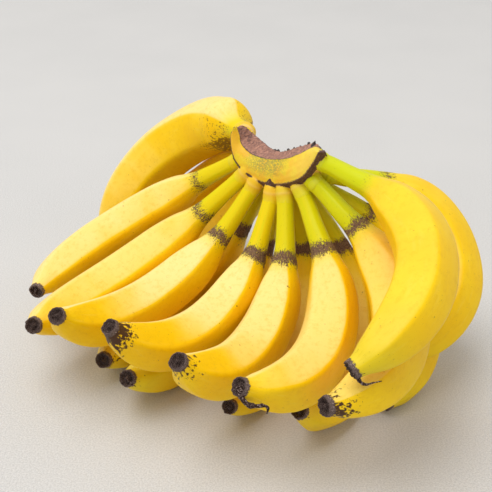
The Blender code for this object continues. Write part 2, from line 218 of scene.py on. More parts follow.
# Its relief: heights are shares of its radius, places and widths shares of its length, and sizes metres on a
# tube of PATTERN_RADIUS that moves on by PATTERN_STEP from finger to finger
PATTERN_RADIUS = 0.012
PATTERN_STEP = np.array([0.13, 0.29, 0.07])
LUMP_HEIGHT = 0.016
LUMP_SIZE = 0.028
LUMPY_FROM = (0.2, 0.35)
LUMPY_TO = (0.9, 0.96)
SCAR_HALF_WIDTH = 0.029
SCAR_WAVER = 0.01
SCAR_WAVER_SIZE = 0.008
SCAR_SWELL = 0.03
SCAR_ROUGHNESS = 0.035
SCAR_GRAIN = 0.0022
DARK_END_START = 0.988
DARK_END_TURN = 0.008
DARK_END_FLARE = 0.97
DARK_END_ROUGHNESS = 0.07
DARK_END_GRAIN = 0.0035
END_FACE_ROUGHNESS = 0.16
END_FACE_GRAIN = 0.0022
END_FACE_STEP = 0.003

# Dried remnants of flowers on some ends, in millimetres: knots from the end's middle along X, Y and Z, and
# the radius at the first knot and the last
CURL = [(0, 0, 0), (1.5, -4, -4), (6, -6, -8), (12.5, -7, -7.5), (15.6, -7, -9), (15.3, -7, -13)]
THREAD = [(1, 0, 0), (4.4, -4, -4.5), (7.5, -5, -6), (10.6, -5, -5), (16, -5, -3.5)]
SHORT_THREAD = [(0, 0, 0), (3, -3, -2), (6, -4, -3.5)]
REMNANTS = {
    "finger_inner_6": (CURL, 1.9, 0.5),
    "finger_inner_8": (THREAD, 1.2, 0.3),
    "finger_outer_5": (SHORT_THREAD, 1, 0.3),
}
REMNANT_SIDES = 14
REMNANT_SECTIONS = 12
REMNANT_ROUGHNESS = 0.5
REMNANT_GRAIN = 0.0016
REMNANT_TONE = 0.3

# The camera looks along +Y and down, at a point set off from the crown
CAMERA_ELEVATION = 28.3
CAMERA_DISTANCE = 0.622
CAMERA_SIDE_SHIFT = -0.0238
CAMERA_RISE = -0.0755
PICTURE_SIDE = 492
FOCAL_PIXELS = 889.5
FILM_WIDTH = 36

# The looks of a finger: turn of its five ridges and their twist over its length in degrees, strength of the
# painted sheen on the faces towards the light, lime of the stalk, strength and place of the neck scar,
# strength of the speckles and how far they reach past the neck, brown smudges at the flower end (both
# thicker on faces turned from the light, as painted shade), and green near it. Each row's are in its order
USUAL_LOOKS = dict(
    ridges=0, twist=0, pale=0.4, lime=0.3, scar=1.0, neck=0.2, speckle=0.5, reach=0.13, smudge=0.2, green=0.0
)
# Necks hidden among the stalks: real scars and speckles, made heavier as painted shade in the gaps between the
# stalks
HIDDEN_NECK_SCAR_AND_SHADE = dict(scar=1.2, speckle=1.3)
INNER_LOOKS = [
    dict(ridges=13, pale=0.95, lime=0.25, scar=0.55, neck=0.18, speckle=1.1, smudge=0),
    dict(ridges=3, pale=0.72, lime=0.25, scar=0.7, neck=0.185, speckle=0.6, smudge=0),
    dict(ridges=62, twist=40, pale=1, lime=0.2, scar=0.9, neck=0.195, speckle=0.9, smudge=0),
    dict(ridges=38, twist=60, pale=1, lime=0.1, speckle=0.7, smudge=1),
    dict(ridges=22, twist=70, pale=0.9, lime=0.45, speckle=0.4, smudge=0.6),
    dict(ridges=12, twist=70, pale=0.75, lime=0.55),
    dict(ridges=27, twist=60, pale=0.45, lime=0.8, scar=0.9, neck=0.195, smudge=0.8, green=0.1),
    dict(ridges=18, twist=50, pale=0.1, lime=0.9, scar=0.15, neck=0.19, speckle=0.3, green=0.5),
]
OUTER_LOOKS = [
    dict(ridges=71, pale=0.95, lime=0, scar=0, neck=0.06, speckle=1.45, reach=0.42, smudge=0),
    # The second and third also get heavier scars and speckles, partly as painted shade among the stalks
    dict(ridges=6, scar=1.2, speckle=1.4, green=0.1),
    dict(ridges=9, scar=1.2, speckle=1.4, green=0.1),
    dict(ridges=63, smudge=0.5, green=0.4, **HIDDEN_NECK_SCAR_AND_SHADE),
    dict(ridges=46, smudge=0.3, green=0.5, **HIDDEN_NECK_SCAR_AND_SHADE),
    dict(ridges=33, lime=0.4, green=0.3, **HIDDEN_NECK_SCAR_AND_SHADE),
    dict(ridges=30, lime=0.4, green=0.3, **HIDDEN_NECK_SCAR_AND_SHADE),
    dict(ridges=62, pale=0.3, lime=0.5, scar=0.8, speckle=0.6, green=0.3),
    dict(ridges=52, pale=0.15, lime=0.7, scar=0.6, green=0.2),
]


def stem_axes():
    """Unit vectors of the crown: along the stem's axis, level across it, and up across it."""
    azimuth, tilt = math.radians(STEM_AZIMUTH), math.radians(STEM_TILT)
    along = np.array(
        [-math.sin(azimuth) * math.cos(tilt), -math.cos(azimuth) * math.cos(tilt), math.sin(tilt)]
    )
    level = np.cross([0.0, 0.0, 1.0], along)
    level /= np.linalg.norm(level)
    return along, level, np.cross(along, level)


ALONG, LEVEL, UPWARD = stem_axes()
CROWN_AXES = np.array([LEVEL, UPWARD, ALONG])
CROWN_CENTRE = HAND_SHIFT + np.array([0, 0, CROWN_HEIGHT])


def fan_directions(fan):
    """The direction out of the crown at this place in the fan, where 0 is down, and the one across it."""
    angle = math.radians(fan)
    outward = math.sin(angle) * LEVEL - math.cos(angle) * UPWARD
    sideways = math.cos(angle) * LEVEL + math.sin(angle) * UPWARD
    return outward, sideways


def grown_line(finger, row_offset):
    """A finger's line as it would grow alone: a straight stalk, then an even bend towards the stem."""
    fan, lift, bend, sway, length_mm = finger[:5]
    length = length_mm / 1000
    outward, sideways = fan_directions(fan)
    run = np.linspace(0, length, STATIONS)
    share = np.clip((run - STRAIGHT_STALK) / (length - STRAIGHT_STALK), 0, 1)
    turn = np.radians(lift) + np.radians(bend) * share
    drift = np.radians(sway) * share
    heading = np.cos(drift)[:, None] * (
        np.cos(turn)[:, None] * outward + np.sin(turn)[:, None] * ALONG
    ) + np.sin(drift)[:, None] * sideways
    steps = (heading[1:] + heading[:-1]) / 2 * (length / (STATIONS - 1))
    root = outward * ROOT_RADIUS + ALONG * row_offset + np.array([0, 0, CROWN_HEIGHT])
    line = root + np.vstack([np.zeros(3), np.cumsum(steps, axis=0)])
    if row_offset > 0:
        drop = ROOT_DROP * min(max((DROP_LIFT - lift) / DROP_LIFT_RANGE, 0), 1)
        sunk = np.cos(np.clip(run / DROP_RUN, 0, 1) * math.pi) / 2 + 0.5
        line -= drop * sunk[:, None] * ALONG
    return line


def thickness(share, girth, stalk):
    """The finger's radius at a share of its length, on a smooth curve through the profile's points."""
    at, size = np.array(PROFILE).T
    past_shoulder = 1 - (1 - at) * (1 - SHOULDER_SHARE * stalk) / (1 - SHOULDER_SHARE)
    at = np.where(at < SHOULDER_SHARE, at * stalk, past_shoulder)
    slope = np.gradient(size, at)
    slope[1:-1] = np.where(np.diff(size)[1:] * np.diff(size)[:-1] <= 0, 0.0, slope[1:-1])
    i = np.clip(np.searchsorted(at, share, side="right") - 1, 0, len(at) - 2)
    width = at[i + 1] - at[i]
    t = (share - at[i]) / width
    value = (
        (2 * t**3 - 3 * t**2 + 1) * size[i]
        + (t**3 - 2 * t**2 + t) * width * slope[i]
        + (3 * t**2 - 2 * t**3) * size[i + 1]
        + (t**3 - t**2) * width * slope[i + 1]
    )
    return value * GIRTH_RADIUS * girth


def settle(lines, shapes):
    """Presses the fingers apart where they would overlap and lifts them off the floor, in smooth bends."""
    share = np.linspace(0, 1, STATIONS)
    reach = [thickness(share, *shape) * (1 + RIDGE_HEIGHT) for shape in shapes]
    lengths = [np.linalg.norm(np.diff(line, axis=0), axis=1) for line in lines]
    give = np.clip((share - FAST_SHARE) / (FREE_SHARE - FAST_SHARE), 0, 1)[:, None]
    grown, lines = lines, [line.copy() for line in lines]
    kernel = np.hanning(2 * SETTLE_REACH + 3)[1:-1]
    kernel /= kernel.sum()
    room = ((SETTLE_REACH, SETTLE_REACH), (0, 0))
    for _ in range(SETTLE_ROUNDS):
        pushes = [np.zeros_like(line) for line in lines]
        for a in range(len(lines)):
            for b in range(a + 1, len(lines)):
                apart = lines[a][:, None] - lines[b][None]
                distance = np.linalg.norm(apart, axis=2)
                overlap = reach[a][:, None] + reach[b][None] + CLEARANCE - distance
                if overlap.max() <= 0:
                    continue
                unit = apart / distance[..., None]
                for own, axis, sign in ((a, 1, 1.0), (b, 0, -1.0)):
                    worst = overlap.argmax(axis=axis)
                    rows = np.arange(STATIONS)
                    pick = (rows, worst) if axis == 1 else (worst, rows)
                    depth = np.clip(overlap[pick], 0, None)[:, None]
                    pushes[own] += sign * depth * unit[pick] / 2
        for i, line in enumerate(lines):
            sink = reach[i] - FLAT_DEPTH - line[:, 2]
            pushes[i][:, 2] += np.clip(sink, 0, None)
            padded = np.pad(pushes[i], room, mode="edge")
            for axis in range(3):
                line[:, axis] += give[:, 0] * np.convolve(padded[:, axis], kernel, "valid")
            moved = line - grown[i]
            line[1:-1] += STIFFNESS * give[1:-1] * ((moved[2:] + moved[:-2]) / 2 - moved[1:-1])
            for k, length in enumerate(lengths[i]):
                step = line[k + 1] - line[k]
                line[k + 1] = line[k] + step * (length / np.linalg.norm(step))
    return lines


def smooth_curve(points, at):
    """Points on a smooth curve through the given ones, at places counted in points from the first."""
    points = np.asarray(points, float)
    padded = np.vstack([2 * points[0] - points[1], points, 2 * points[-1] - points[-2]])
    i = np.clip(np.floor(at).astype(int), 0, len(points) - 2)
    t = (at - i)[:, None]
    a, b, c, d = (padded[i + k] for k in range(4))
    return 0.5 * (
        2 * b + (c - a) * t + (2 * a - 5 * b + 4 * c - d) * t**2 + (3 * b - a - 3 * c + d) * t**3
    )


def ease(value, start, end):
    """0 before start, 1 after end, and smooth between."""
    t = np.clip((value - start) / (end - start), 0, 1)
    return t * t * (3 - 2 * t)


LATTICE = np.random.default_rng(7).uniform(-1, 1, (32, 32, 32))


def lumps(points, size):
    """Smooth random values between about -1 and 1 whose features have this size, at each point."""
    scaled = points / size
    low = np.floor(scaled).astype(int)
    t = scaled - low
    t = t * t * (3 - 2 * t)
    total = np.zeros(points.shape[:-1])
    for corner in np.ndindex(2, 2, 2):
        index = (low + corner) % 32
        weight = np.prod(np.where(corner, t, 1 - t), axis=-1)
        total += weight * LATTICE[index[..., 0], index[..., 1], index[..., 2]]
    return total


def rough(points, size):
    """Three layers of lumps, each half the size and strength of the one before."""
    return sum(lumps(points + 0.37 * k, size / 2**k) / 2**k for k in range(3))


def section_frames(line):
    """Unit vectors along the line and across it at each station, carried without twist from the root."""
    tangents = np.gradient(line, axis=0)
    tangents /= np.linalg.norm(tangents, axis=1)[:, None]
    across = -ALONG
    firsts, seconds = [], []
    for tangent in tangents:
        across = across - tangent * (across @ tangent)
        across /= np.linalg.norm(across)
        firsts.append(across)
        seconds.append(np.cross(tangent, across))
    return tangents, np.array(firsts), np.array(seconds)


def directions(angles, firsts, seconds):
    """Unit vectors at these angles round a line, for each of its stations."""
    return np.cos(angles)[..., None] * firsts[:, None] + np.sin(angles)[..., None] * seconds[:, None]


def with_ends(rings):
    """Values on rings of points as one row a point, then the middles of the first ring and the last."""
    flat = rings.reshape(rings.shape[0] * rings.shape[1], -1)
    sides = rings.shape[1]
    return np.vstack([flat, flat[:sides].mean(axis=0), flat[-sides:].mean(axis=0)])


def ring_faces(count, sides, first=0):
    """Faces of a closed shell through rings of points, with a fan at both ends."""
    k, j = np.meshgrid(np.arange(count - 1), np.arange(sides), indexing="ij")
    after = (j + 1) % sides
    near, far = k * sides, (k + 1) * sides
    quads = np.stack([near + j, near + after, far + after, far + j], axis=-1)
    faces = (first + quads.reshape(-1, 4)).tolist()
    end, last = first + count * sides, first + (count - 1) * sides
    for side in range(sides):
        beyond = (side + 1) % sides
        faces.append((end, first + beyond, first + side))
        faces.append((end + 1, last + side, last + beyond))
    return faces


def write_numbers(mesh, numbers):
    """Stores numbers on the points of a mesh, one value or one vector a point."""
    for title, values in numbers.items():
        vector = values.ndim == 2 and values.shape[1] == 3
        layer = mesh.attributes.new(title, "FLOAT_VECTOR" if vector else "FLOAT", "POINT")
        layer.data.foreach_set("vector" if vector else "value", values.astype(np.float32).ravel())


def shell_mesh(name, shells):
    """A mesh of closed shells, each through rings of points, and its points."""
    points, faces = [], []
    for rings, _ in shells:
        faces += ring_faces(*rings.shape[:2], first=sum(len(part) for part in points))
        points.append(with_ends(rings))
    points = np.vstack(points)
    mesh = bpy.data.meshes.new(name)
    mesh.from_pydata(points.tolist(), [], faces)
    return mesh, points


def shell_numbers(shells, title):
    """One number or vector of all the shells' points, or 0 where a shell has none."""
    return np.vstack([with_ends(numbers.get(title, np.zeros(rings.shape[:2]))) for rings, numbers in shells])


def read_vectors(items, title):
    """A vector of each of the mesh's points."""
    flat = np.empty(len(items) * 3, np.float32)
    items.foreach_get(title, flat)
    return flat.reshape(-1, 3).astype(float)


def tube(centre, radius, sides):
    """Rings of points round a line of centres."""
    _, firsts, seconds = section_frames(centre)
    angles = np.linspace(0, 2 * math.pi, sides, endpoint=False)
    return centre[:, None] + radius[:, None, None] * directions(angles[None], firsts, seconds)


def remnant(end, knots, first_radius, last_radius):
    """The dried remnant of a flower, a crooked thread from the end of a finger."""
    run = np.linspace(0, len(knots) - 1, REMNANT_SECTIONS * len(knots))
    centre = end + smooth_curve(knots, run) / 1000
    radius = np.interp(run, [0, len(knots) - 1], [first_radius, last_radius]) / 1000
    rings = tube(centre, radius, REMNANT_SIDES)
    rings += (rings - centre[:, None]) * REMNANT_ROUGHNESS * lumps(rings, REMNANT_GRAIN)[..., None]
    same = np.ones(rings.shape[:2])
    return rings, {"peel": rings, "along": same, "end_face": REMNANT_TONE * same}


# The hollow, ringed face of a dried end: rings from its edge inwards, each with its size as a share of the
# edge's and its height as a share of the end's radius
END_FACE = [
    (0.97, 0.08), (0.90, 0.13), (0.80, 0.10), (0.70, -0.06),
    (0.58, -0.22), (0.45, -0.30), (0.33, -0.22), (0.23, -0.02),
    (0.14, 0.12), (0.07, 0.16), (0.02, 0.17),
]


def finger_outline(turned, share):
    """The reach of each section, five-sided and rounder on the stalk and the tip, and its faces' weights."""
    closeness = np.clip(np.cos(turned[..., None] - FACE_ANGLES), 0, None) ** CORNER_POWER
    corners = closeness.sum(axis=-1) ** (-1 / CORNER_POWER)
    flatness = STALK_FIVE_SIDEDNESS + (FIVE_SIDEDNESS - STALK_FIVE_SIDEDNESS) * ease(share, *SIDED_FROM)
    flatness = flatness * (1 - ROUNDER_TIP * ease(share, *ROUNDER_FROM))
    outline = 1 + flatness[:, None] * (corners / corners.mean() - 1)
    return outline, closeness / closeness.sum(axis=-1, keepdims=True)


def finger_relief(around, share, looks):
    """How lumps, neck scar and dark end swell a finger, and how scarred it is, at each point."""
    body = (ease(share, *LUMPY_FROM) * (1 - ease(share, *LUMPY_TO)))[:, None]
    lump = LUMP_HEIGHT * body * lumps(around, LUMP_SIZE)
    scar_place = looks["neck"] + SCAR_WAVER * lumps(around, SCAR_WAVER_SIZE)
    scar = looks["scar"] * np.exp(-(((share[:, None] - scar_place) / SCAR_HALF_WIDTH) ** 2))
    scar_relief = scar * (SCAR_SWELL + SCAR_ROUGHNESS * rough(around, SCAR_GRAIN))
    dark = ease(share, DARK_END_START - DARK_END_TURN / 2, DARK_END_START + DARK_END_TURN / 2)[:, None]
    dark_relief = dark * DARK_END_ROUGHNESS * rough(around, DARK_END_GRAIN)
    return 1 + lump + scar_relief + dark_relief, scar


def end_face_rings(centre, spokes, ahead, radius, around):
    """Rings over a dried end, from its edge inwards, and their places in the pattern."""
    rings, places = [], []
    for shrink, rise in END_FACE:
        place = around * np.array([shrink, shrink, 1]) + np.array([0, 0, END_FACE_STEP * (1 - shrink)])
        unevenness = END_FACE_ROUGHNESS * lumps(place, END_FACE_GRAIN)
        rings.append(centre + spokes * shrink + ahead * (radius * (rise + unevenness))[:, None])
        places.append(place)
    return rings, places


def dressed_finger(name, line, shape, number, looks):
    """The fine mesh of one finger: peel, neck scar and dried end, with the numbers that it is shaded by."""
    share = SECTION_SHARES
    length = np.linalg.norm(np.diff(line, axis=0), axis=1).sum()
    inward = (line[1] - line[0]) / np.linalg.norm(line[1] - line[0])
    centre = smooth_curve(line, np.clip(share, 0, 1) * (STATIONS - 1))
    centre = centre + np.clip(share, None, 0)[:, None] * length * inward
    tangents, firsts, seconds = section_frames(centre)
    flare = ease(share, DARK_END_START - DARK_END_TURN, DARK_END_START + DARK_END_TURN)
    radius = thickness(np.clip(share, 0, 1), *shape) * (1 + (DARK_END_FLARE - 1) * flare)

    angles = np.linspace(0, 2 * math.pi, SIDES, endpoint=False)
    around = np.empty((len(share), SIDES, 3))
    around[..., 0] = np.cos(angles) * PATTERN_RADIUS
    around[..., 1] = np.sin(angles) * PATTERN_RADIUS
    around[..., 2] = (share * length)[:, None]
    around += PATTERN_STEP * number

    ridge_turn = np.radians(looks["ridges"] + looks["twist"] * (TWIST_CENTRE - share))[:, None]
    outline, faces = finger_outline(angles - ridge_turn, share)
    relief, scar = finger_relief(around, share, looks)
    spokes = (radius[:, None] * outline * relief)[..., None] * directions(angles[None], firsts, seconds)
    end_rings, end_around = end_face_rings(centre[-1], spokes[-1], tangents[-1], radius[-1], around[-1])
    rings = np.concatenate([centre[:, None] + spokes, end_rings])
    rings[..., 2] = np.clip(rings[..., 2], 0, None)

    # How far each point's face turns to the light: the peel is painted paler there as a sheen, and its
    # speckles and smudges are painted thicker away from it as shade
    face_normals = directions(ridge_turn + FACE_ANGLES, firsts, seconds)
    facing_light = np.einsum("nsf,nfk,k->ns", faces, face_normals, SUNNY_SIDE)
    beyond = ((0, len(END_FACE)), (0, 0))
    inwards = np.repeat([[1 - shrink] for shrink, _ in END_FACE], SIDES, axis=1)
    numbers = {
        "facing_light": np.pad(facing_light, beyond),
        "peel": np.concatenate([around, end_around]),
        "along": np.pad(np.repeat(share[:, None], SIDES, axis=1), beyond, "edge"),
        "scar": np.pad(scar, beyond),
        "end_face": np.concatenate([np.zeros((len(share), SIDES)), inwards]),
    }
    shells = [(rings, numbers)]
    if name in REMNANTS:
        shells.append(remnant(centre[-1], *REMNANTS[name]))
    mesh, _ = shell_mesh(name + "_skin", shells)
    write_numbers(mesh, {title: shell_numbers(shells, title) for title in numbers})
    mesh.shade_smooth()
    return mesh


def out_to(point, radius):
    """The point at this distance from the stem's axis in the direction of the given one."""
    flat = point * np.array([1.0, 1.0, 0.0])
    return flat * (radius / np.linalg.norm(flat))


def crown_section(lip, cut_front, cut_back, back_lip, share):
    """Corners of one section, and how far each is on the cut, on the rim, up the face and charred."""
    along = np.array([0.0, 0.0, 1.0])
    reach, back_reach = math.hypot(lip[0], lip[1]), math.hypot(back_lip[0], back_lip[1])
    flare, drop = np.interp(share, [0, 1], RIM_FLARE), np.interp(share, [0, 1], RIM_DROP)
    rim = out_to(lip, reach + flare) + (lip[2] - drop) * along
    back_rim = out_to(back_lip, back_reach + flare) + (back_lip[2] + drop) * along
    flank = out_to(lip * (1 - FLANK_LEAN) + back_lip * FLANK_LEAN, max(FLANK_RADIUS, reach + flare / 2))
    back_flank = out_to(back_lip, max(FLANK_RADIUS, back_reach + flare / 2))
    hollow = (cut_front + cut_back) / 2 - CUT_HOLLOW * np.array([0.0, 1.0, 0.0])
    end = float(ease(share, *CHARRED_FROM))

    face = []
    for part in FACE_HEIGHTS:
        bulge = FACE_BULGE * 4 * part * (1 - part) * along
        face.append((lip + (cut_front - lip) * part + bulge, 0, 0, part, 0))
    return [
        (hollow, 1, 0, 1, 0),
        (cut_front + (hollow - cut_front) * CUT_EDGE_WIDTH, 1, 0, 1, 0),
        (cut_front, 0.5, 0, 1, 0),
        *face,
        (lip, 0, 0.5, 0, 0),
        (rim, 0, 0.9, 0, 0),
        (flank + min(FLANK_HALF_DEPTH, rim[2] - drop) * along, 0, 0, 0, end),
        (back_flank + max(-FLANK_HALF_DEPTH, back_rim[2] + drop) * along, 0, 0, 0, end),
        (back_rim, 0, 0.9, 0, end),
        (back_lip, 0, 0.5, 0, end),
        ((cut_back + back_lip) / 2 - FACE_BULGE * along, 0, 0, 0.5, end),
        (cut_back + (back_lip - cut_back) * BACK_EDGE_WIDTH, 0, 0, 1 - BACK_EDGE_WIDTH, end),
        (cut_back, 0.5, 0, 1, 0),
        (cut_back + (hollow - cut_back) * CUT_EDGE_WIDTH, 1, 0, 1, 0),
    ]


def crown_body():
    """The crescent as closed rings of points, with the numbers that it is shaded by."""
    edges = [
        smooth_curve(edge, np.linspace(0, len(edge) - 1, CROWN_STATIONS)) / 1000
        for edge in (FRONT_LIP, CUT_FRONT, CUT_BACK, BACK_LIP)
    ]
    rings, marks = [], []
    for k, places in enumerate(zip(*edges)):
        corners = crown_section(*places, k / (CROWN_STATIONS - 1))
        corners.append(corners[0])
        steps = np.arange((len(corners) - 1) * CROWN_SIDE_POINTS) / CROWN_SIDE_POINTS
        columns = np.array([(*place, *mark) for place, *mark in corners])
        sampled = np.array([np.interp(steps, np.arange(len(corners)), column) for column in columns.T]).T
        rings.append(sampled[:, :3])
        marks.append(sampled[:, 3:])
    rings, marks = np.array(rings), np.array(marks)
    numbers = {title: marks[..., k] for k, title in enumerate(("cut", "rim", "face", "char"))}
    aside = np.abs(rings[..., 0] - NOTCH_PLACE) / NOTCH_HALF_WIDTH
    notched = (numbers["face"] < NOTCH_HEIGHT * (1 - aside)) & (rings[..., 2] > 0)
    lip_width = np.where(rings[..., 0] < LEFT_LIP_END, *LIP_WIDTHS)
    on_lip = (numbers["face"] < lip_width) & (numbers["face"] > 0) & (rings[..., 2] > 0)
    numbers["rim"] = np.maximum(numbers["rim"], np.maximum(notched, on_lip))
    rounded = []
    for end, onward in ((0, -END_REACH), (-1, END_REACH)):
        middle = rings[end].mean(axis=0)
        rounded.append([middle + (rings[end] - middle) * END_SHRINK + onward * END_ONWARD])
    rings = np.concatenate([rounded[0], rings, rounded[1]])
    return rings, {title: np.pad(values, ((1, 1), (0, 0)), "edge") for title, values in numbers.items()}


def stalk_stub(line, finger, lime):
    """The stub that a stalk grows from: it starts deep in the crown and ends in the skin of the stalk."""
    outward = fan_directions(finger[0])[0]
    heading = (line[1] - line[0]) / np.linalg.norm(line[1] - line[0])
    side = np.sign((line[0] - CROWN_CENTRE) @ ALONG)
    depth = STUB_DEPTH * (1 - SHORT_STUB_LOSS * ease(abs(finger[0]), *SHORT_STUB_FAN))
    knots = [
        line[0] - outward * depth - ALONG * side * STUB_RISE,
        line[0] - outward * depth * STUB_KNEE_DEPTH - ALONG * side * STUB_RISE * STUB_KNEE_RISE,
        line[0],
        line[0] + heading * STUB_END,
    ]
    run = np.linspace(0, 3, STUB_SECTIONS)
    centre = smooth_curve(knots, run)
    size = float(thickness(np.array([0.0]), *finger[5:])[0])
    collar = np.exp(-(((run - STUB_COLLAR) / STUB_COLLAR_WIDTH) ** 2))
    radius = size * np.interp(run, [0, 1, 2, 3], STUB_RADII) + STUB_COLLAR_HEIGHT * collar
    radius -= STUB_SINK * ease(run, STUB_SINK_FROM, 3.0)
    rings = tube((centre - CROWN_CENTRE) @ CROWN_AXES.T, radius, STUB_SIDES)
    spread = np.ones((len(run), STUB_SIDES))
    return rings, {
        "stub": spread * (run / 3)[:, None],
        "lime": spread * lime,
        "collar": spread * collar[:, None],
    }


def crown_knobs():
    """Small dried knobs along the back edge of the cut, and the spike at its right end."""
    knobs = []
    edge = np.array(CUT_BACK) / 1000
    profile = np.sin(np.linspace(0.12, math.pi - 0.12, KNOB_SECTIONS))
    lengthwise = np.cos(np.linspace(math.pi, 0, KNOB_SECTIONS))
    for k, place in enumerate(KNOB_PLACES):
        size = KNOB_RADIUS * (1 + KNOB_VARIETY * math.sin(2.4 * k))
        here, onward = smooth_curve(edge, np.array([place, place + 0.2]))
        middle = here + np.array([0.0, 0.3 * size, -0.2 * size])
        ahead = (onward - here) * KNOB_STRETCH * size / np.linalg.norm(onward - here)
        knobs.append(tube(middle + lengthwise[:, None] * ahead, profile * size, KNOB_SIDES))
    foot, top = np.array(SPIKE_FOOT) / 1000, np.array(SPIKE_TOP) / 1000
    way = np.linspace(0, 1, SPIKE_SECTIONS)
    knobs.append(tube(foot + way[:, None] * (top - foot), np.interp(way, SPIKE_WAY, SPIKE_RADII), KNOB_SIDES))
    return [(rings, {"char": np.ones(rings.shape[:2])}) for rings in knobs]


def fused(name, shells):
    """One closed skin over all the shells, with the numbers of the nearest points of them."""
    rough_mesh, points = shell_mesh(name + "_rough", shells)
    marks = np.hstack([shell_numbers(shells, title) for title in CROWN_NUMBERS])
    source = link(bpy.data.objects.new(name + "_rough", rough_mesh))
    skin = source.modifiers.new("one skin", "REMESH")
    skin.mode = "VOXEL"
    skin.voxel_size = CROWN_VOXEL
    soft = source.modifiers.new("softer", "SMOOTH")
    soft.factor = 0.5
    soft.iterations = SOFTENING_ROUNDS
    mesh = bpy.data.meshes.new_from_object(source.evaluated_get(bpy.context.evaluated_depsgraph_get()))
    mesh.name = name
    bpy.data.objects.remove(source)
    tree = KDTree(len(points))
    for index, point in enumerate(points):
        tree.insert(point, index)
    tree.balance()
    places = read_vectors(mesh.vertices, "co")
    nearest = np.array([[hit[1] for hit in tree.find_n(place, 3)] for place in places])
    return mesh, places, dict(zip(CROWN_NUMBERS, marks[nearest].mean(axis=1).T))


def hollowness(mesh, places, normals):
    """How deep each point lies in a hollow of its surroundings, in metres."""
    edges = np.empty(len(mesh.edges) * 2, np.int32)
    mesh.edges.foreach_get("vertices", edges)
    a, b = edges.reshape(-1, 2).T
    count = np.bincount(np.concatenate([a, b]), minlength=len(places))[:, None]
    softened = places
    for _ in range(HOLLOW_ROUNDS):
        total = np.zeros_like(softened)
        np.add.at(total, a, softened[b])
        np.add.at(total, b, softened[a])
        softened = total / count
    return ((softened - places) * normals).sum(axis=1)


def dressed_crown(roots):
    """The fine mesh of the crown, with its stubs, knobs, fibrous cut and dried rim."""
    shells = [crown_body(), *(stalk_stub(*root) for root in roots), *crown_knobs()]
    mesh, places, numbers = fused("crown_skin", shells)
    normals = read_vectors(mesh.vertices, "normal")
    numbers["hollow"] = hollowness(mesh, places, normals) / 0.001
    fibres = CUT_RELIEF * rough(places * CUT_GRAIN_STRETCH, CUT_GRAIN)
    relief = numbers["cut"] * (fibres + FINE_RELIEF * lumps(places, FINE_GRAIN))
    relief += numbers["rim"] * RIM_RELIEF * rough(places, RIM_GRAIN)
    relief += numbers["char"] * CHAR_RELIEF * rough(places, CHAR_GRAIN)
    relief += (1 - numbers["cut"]) * SKIN_RELIEF * rough(places, SKIN_GRAIN)
    numbers["place"] = places
    world = CROWN_CENTRE + (places + relief[:, None] * normals) @ CROWN_AXES
    mesh.vertices.foreach_set("co", world.astype(np.float32).ravel())
    write_numbers(mesh, numbers)
    mesh.shade_smooth()
    mesh.update()
    return mesh


class Surface:
    """A material that is put together from nodes, with short names for the ones used here."""

    def __init__(self, name, roughness):
        self.material = bpy.data.materials.new(name)
        self.material.use_nodes = True
        self.tree = self.material.node_tree
        self.shader = self.tree.nodes["Principled BSDF"]
        self.shader.inputs["Roughness"].default_value = roughness

    def join(self, source, target):
        """Feeds a socket with another socket or with a plain value."""
        if isinstance(source, bpy.types.NodeSocket):
            self.tree.links.new(source, target)
        else:
            target.default_value = source

    def node(self, kind, inputs=None, **settings):
        """A new node with these settings and inputs."""
        made = self.tree.nodes.new(kind)
        for key, value in settings.items():
            setattr(made, key, value)
        for key, value in (inputs or {}).items():
            self.join(value, made.inputs[key])
        return made

    def attribute(self, title, vector=False):
        made = self.node("ShaderNodeAttribute", attribute_name=title)
        return made.outputs["Vector" if vector else "Fac"]

    def stretch(self, vector, scale):
        return self.node("ShaderNodeMapping", {"Vector": vector, "Scale": scale}).outputs["Vector"]

    def noise(self, vector, scale, detail=3.0, roughness=0.55, distortion=0.0):
        inputs = {"Vector": vector, "Scale": scale, "Detail": detail}
        inputs |= {"Roughness": roughness, "Distortion": distortion}
        return self.node("ShaderNodeTexNoise", inputs).outputs["Fac"]

    def axis(self, vector, name):
        return self.node("ShaderNodeSeparateXYZ", {"Vector": vector}).outputs[name]

    def cells(self, vector, scale):
        return self.node("ShaderNodeTexVoronoi", {"Vector": vector, "Scale": scale}).outputs["Distance"]

    def sum(self, a, b):
        return self.count("ADD", a, b)

    def product(self, a, b):
        return self.count("MULTIPLY", a, b)

    def swing(self, noise, amount):
        """A noise as a value that swings about 0."""
        return self.product(self.count("SUBTRACT", noise, 0.5), amount)

    def count(self, operation, a, b):
        return self.node("ShaderNodeMath", {0: a, 1: b}, operation=operation).outputs[0]

    def between(self, value, low, high, start=0.0, end=1.0):
        """start where value is low, end where it is high, and smooth between."""
        inputs = {"Value": value, "From Min": low, "From Max": high, "To Min": start, "To Max": end}
        made = self.node("ShaderNodeMapRange", inputs, interpolation_type="SMOOTHSTEP")
        return made.outputs["Result"]

    def mix(self, amount, a, b):
        made = self.node("ShaderNodeMix", {"Factor": amount}, data_type="RGBA")
        colours = [s for s in made.inputs if s.type == "RGBA"]
        for source, target in zip((a, b), colours):
            self.join((*source, 1.0) if isinstance(source, tuple) else source, target)
        return next(s for s in made.outputs if s.type == "RGBA")

    def bump(self, height, distance, strength):
        made = self.node("ShaderNodeBump", {"Height": height, "Distance": distance, "Strength": strength})
        self.join(made.outputs["Normal"], self.shader.inputs["Normal"])

    def finish(self, colour, roughness=None):
        self.join(colour, self.shader.inputs["Base Color"])
        if roughness is not None:
            self.join(roughness, self.shader.inputs["Roughness"])
        return self.material


